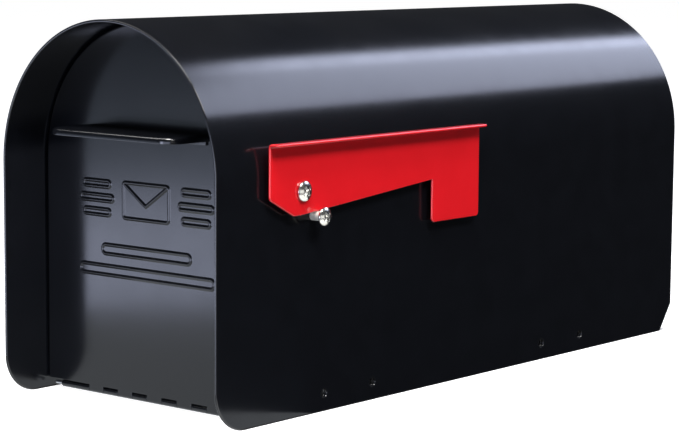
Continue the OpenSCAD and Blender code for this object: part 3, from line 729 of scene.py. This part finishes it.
DOOR_BEND_R = 2.2 * MM
DOOR_EDGE_R = 0.35 * MM
PULL_BEND_R = 3 * MM
PULL_EDGE_R = 0.4 * MM
FLAG_EDGE_R = 0.85 * MM
SLEEVE_EDGE_R = 0.2 * MM
SLEEVE_FLARE = 1.32
FLARE_GAP = 0.3 * MM
KNUCKLE_R = 2.5 * MM
KNUCKLE_TOP = -13 * MM
RIDGE = {"half": 1.8 * MM, "sink": 0.04 * MM, "across": 12, "cap": 6}
CORNER_STEPS = 10
ENVELOPE = (44 * MM, 25 * MM)
ENVELOPE_R = 2.2 * MM
FLAP_INSET = 1 * MM
FLAP_DIP = 3 * MM
RIB = {"x": 48 * MM, "pitch": 10 * MM, "length": 32 * MM, "step": 6 * MM, "height": 4.2 * MM}
BEADS = [(36 * MM, 86 * MM), (51 * MM, 130 * MM)]
BEAD_H = 6.5 * MM
ORNAMENT_Z = foot_z + 143.5 * MM


def ridge_rise(distance, rise):
    """Height of a pressed ridge at a distance from its middle line."""
    share = min(1, distance / RIDGE["half"])
    return (rise + RIDGE["sink"]) * math.cos(math.pi * share / 2) ** 2 - RIDGE["sink"]


def ridge_row(bm, at, ahead, reach, rise, face_y):
    """Points across a ridge, reach ahead of a point on its middle line."""
    across = Vector((-ahead.y, ahead.x))
    half = math.sqrt(RIDGE["half"] ** 2 - reach ** 2)
    row = []
    for i in range(RIDGE["across"] + 1):
        off = half * (2 * i / RIDGE["across"] - 1)
        p = at + across * off + ahead * reach
        row.append(bm.verts.new((p.x, face_y - ridge_rise(math.hypot(off, reach), rise), p.y)))
    return row


def add_ridge(bm, path, closed, rise, face_y):
    """A soft raised line on the door's face along a path of (x, z) points, its open ends round."""
    points = [Vector(p) for p in path]
    last = len(points) - 1
    steps = [RIDGE["half"] * math.sin(math.pi / 2 * k / RIDGE["cap"]) for k in range(1, RIDGE["cap"])]
    rows = []
    for i, p in enumerate(points):
        before = points[i - 1] if closed or i > 0 else p
        after = points[(i + 1) % len(points)] if closed or i < last else p
        ahead = (after - before).normalized()
        reaches = [0]
        if not closed and i == 0:
            reaches = [-step for step in reversed(steps)] + reaches
        if not closed and i == last:
            reaches += steps
        rows += [ridge_row(bm, p, ahead, reach, rise, face_y) for reach in reaches]
    if closed:
        rows.append(rows[0])
    else:
        bm.faces.new(rows[0])
        bm.faces.new(rows[-1][::-1])
    join_rings(bm, rows)


def round_frame(x, z, width, height, radius):
    """A closed path round a rectangle with rounded corners, its middle at (x, z), no point twice."""
    path = []
    for turn, sx, sz in ((0, 1, 1), (90, -1, 1), (180, -1, -1), (270, 1, -1)):
        centre = (x + sx * (width / 2 - radius), z + sz * (height / 2 - radius))
        path += arc_points(centre, radius, turn, turn + 90, CORNER_STEPS)
    return [p for i, p in enumerate(path) if math.dist(p, path[i - 1]) > MERGE]


def ornament_paths():
    """The ornament's lines as (path, closed): an envelope between ribs, over two long beads."""
    z = ORNAMENT_Z
    flap_x, flap_z = (side / 2 - FLAP_INSET for side in ENVELOPE)
    dip = (0, z - FLAP_DIP)
    paths = [(round_frame(0, z, *ENVELOPE, ENVELOPE_R), True)]
    paths += [([(side * flap_x, z + flap_z), dip], False) for side in (-1, 1)]
    for side in (-1, 1):
        for row in (-1, 0, 1):
            length = RIB["length"] - RIB["step"] * abs(row)
            rib_z = z + row * RIB["pitch"]
            rib = round_frame(side * RIB["x"], rib_z, length, RIB["height"], RIB["height"] / 2)
            paths.append((rib, True))
    for drop, length in BEADS:
        paths.append((round_frame(0, z - drop, length, BEAD_H, BEAD_H / 2), True))
    return paths


def flat_face(bm, face_y):
    """Takes the plain raised lines off the door's face."""
    for v in bm.verts:
        if v.co.y < face_y - 0.2 * MM:
            v.co.y = face_y
    join_flats(bm, 5 * MERGE)


def make_door():
    """The door: its outer edge is bent round, its other edges are eased, and its ornament is soft."""
    face_y = joint_at["door_hinge"].y - KNUCKLE_R
    rise = face_y - door_low.y
    at_face = on_plane(1, face_y)

    def perimeter(e):
        """Tells whether an edge lies on the face's outline, above the knuckles."""
        if not at_face(e):
            return False
        centre = (e.verts[0].co + e.verts[1].co) / 2
        reach = math.hypot(centre.x, max(0, centre.z - arch_z))
        return abs(reach - door_high.x) < 0.5 * MM and centre.z > KNUCKLE_TOP

    bm = clean_copy("door_panel")
    flat_face(bm, face_y)
    bend_edges(bm, perimeter, DOOR_BEND_R)
    round_edges(bm, sharp_edges(bm), DOOR_EDGE_R, 3)
    bmesh.ops.dissolve_degenerate(bm, dist=MERGE, edges=bm.edges)
    for path, closed in ornament_paths():
        add_ridge(bm, path, closed, rise, face_y)
    add_piece("door_panel_piece", bm, "door_panel")


def make_handle():
    """The pull: its top edge rolls over into the turned-down edge."""
    top = on_plane(2, handle_high.z)

    def rolled(e):
        """Tells whether an edge lies on the top face, away from the door."""
        return top(e) and min(v.co.y for v in e.verts) < handle_high.y - 0.3 * MM

    bm = clean_copy("door_handle")
    bend_edges(bm, rolled, PULL_BEND_R)
    round_edges(bm, sharp_edges(bm), PULL_EDGE_R, 3)
    add_piece("door_handle_piece", bm, "door_handle")


def make_flag():
    """The flag, whose thick paint leaves its edges round."""
    eased_piece("flag", FLAG_EDGE_R, segments=4)


def make_spacer():
    """The stop's sleeve, which flares towards the screw's head beyond the flag's sheet."""
    low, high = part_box("stop_spacer")
    centre = middle("stop_spacer")
    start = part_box("flag_bushing")[1].x + FLARE_GAP
    bm = clean_copy("stop_spacer")
    everything = list(bm.verts) + list(bm.edges) + list(bm.faces)
    bmesh.ops.bisect_plane(bm, geom=everything, plane_co=(start, 0, 0), plane_no=(1, 0, 0))
    inside = 0.9 * (high.z - low.z) / 2
    for v in bm.verts:
        off = Vector((v.co.y - centre.y, v.co.z - centre.z))
        if v.co.x > high.x - 0.1 * MM and off.length > inside:
            v.co.y = centre.y + off.x * SLEEVE_FLARE
            v.co.z = centre.z + off.y * SLEEVE_FLARE
    round_edges(bm, sharp_edges(bm), SLEEVE_EDGE_R, 2)
    add_piece("stop_spacer_piece", bm, "stop_spacer")


# ---------------------------------------------------------------- the rest

# Radius of each plain piece's eased edges, in millimetres
EASED = {
    "floor_pan": 0.4,
    "back_panel": 0.4,
    "stop_frame": 0.3,
    "hinge_leaf": 0.3,
    "hinge_rod": 0.2,
    "handle_rivets": 0.3,
    "strike_plate": 0.3,
    "catch_bracket": 0.3,
    "catch_housing": 0.3,
    "catch_magnet": 0.15,
    "catch_pole_plates": 0.15,
    "catch_screws": 0.15,
    "door_bumpers": 0.3,
    "flag_bushing": 0.15,
    "flag_wall_washer": 0.3,
    "flag_pivot_screw": 0.25,
    "flag_inner_washer": 0.2,
    "flag_lock_nut": 0.25,
    "stop_screw": 0.25,
    "stop_inner_washer": 0.2,
    "stop_nut": 0.25,
}

bpy.context.scene.view_settings.view_transform = "Standard"
make_camera()
materials = make_materials()
make_world()
make_floor()
make_lights()
make_shell()
make_door()
make_handle()
make_flag()
make_spacer()
for node, radius in EASED.items():
    eased_piece(node, radius * MM, segments=2)
